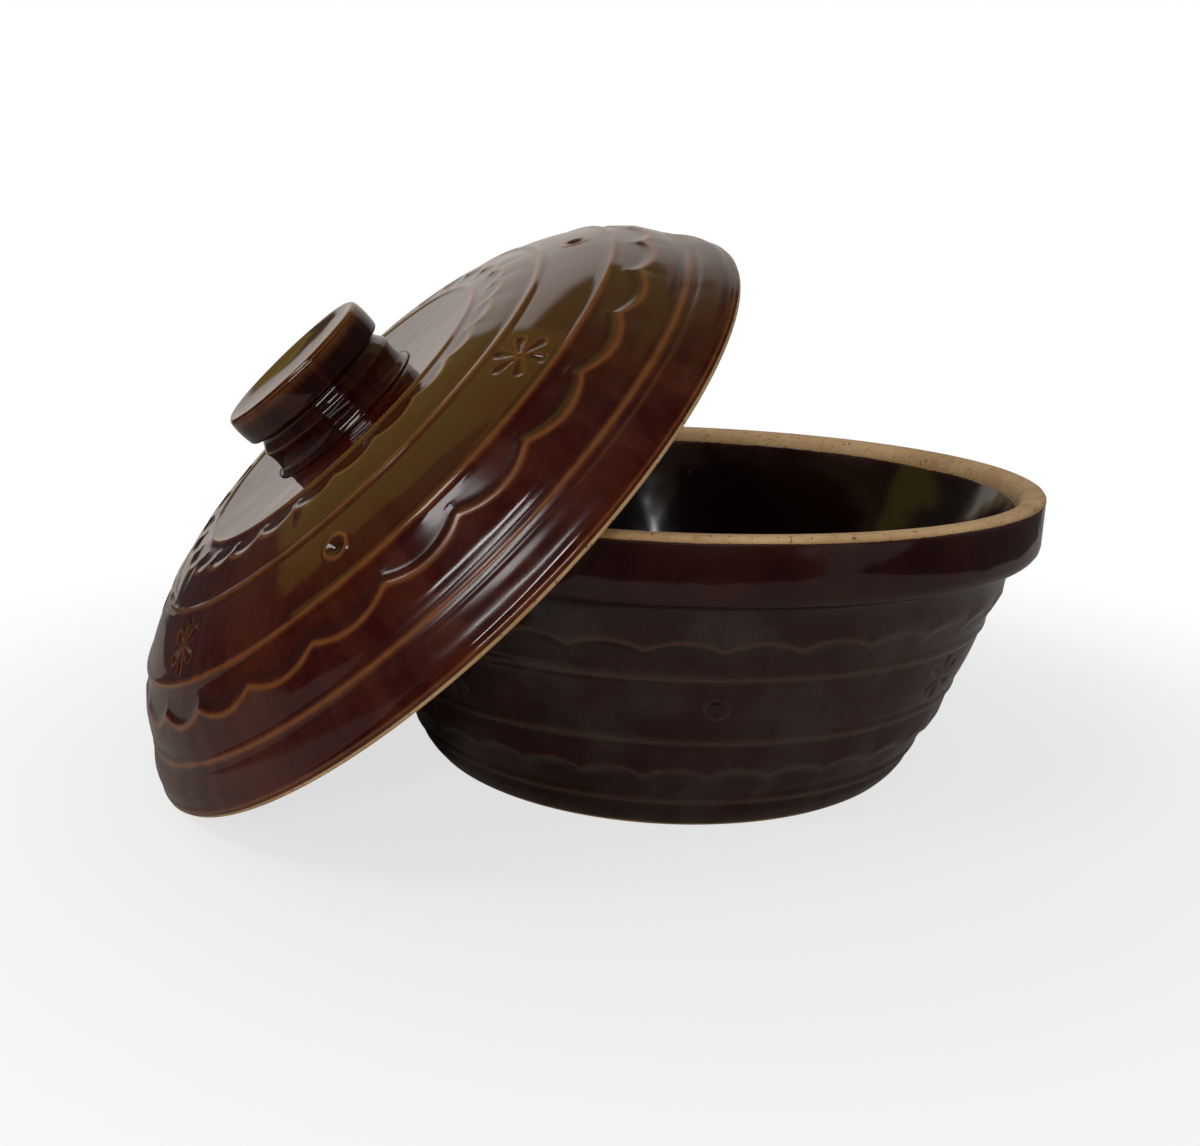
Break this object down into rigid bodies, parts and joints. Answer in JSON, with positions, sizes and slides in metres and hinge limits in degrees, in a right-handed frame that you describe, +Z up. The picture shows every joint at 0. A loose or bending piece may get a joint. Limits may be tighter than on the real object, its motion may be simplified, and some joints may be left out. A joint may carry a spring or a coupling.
{
  "type": "covered serving bowl",
  "caption": "Round stoneware serving bowl with a loose domed lid and dished knob, the lid leaning against the bowl's rim.",
  "frame": {"origin": "centre of the bowl's foot ring, on the table", "axes": "+Z up along the bowl's axis; the lid's knob points up and to -X, -Y"},
  "size_m": [0.2722, 0.2516, 0.1617],
  "materials": {
    "stoneware_bowl": "glossy dark brown glaze with bare buff clay on the rim and the foot",
    "stoneware_lid": "glossy dark brown glaze with bare buff clay on the seat",
    "stoneware_knob": "glossy dark brown glaze"
  },
  "bodies": {
    "bowl": {"bowl": "stoneware_bowl"},
    "lid": {"lid": "stoneware_lid", "lid_knob": "stoneware_knob"}
  },
  "joints": [
    {"name": "lid_lift", "type": "slide", "parent": "bowl", "child": "lid", "axis": [-0.6414, -0.2742, 0.7165], "range_m": [0, 0.12]}
  ]
}
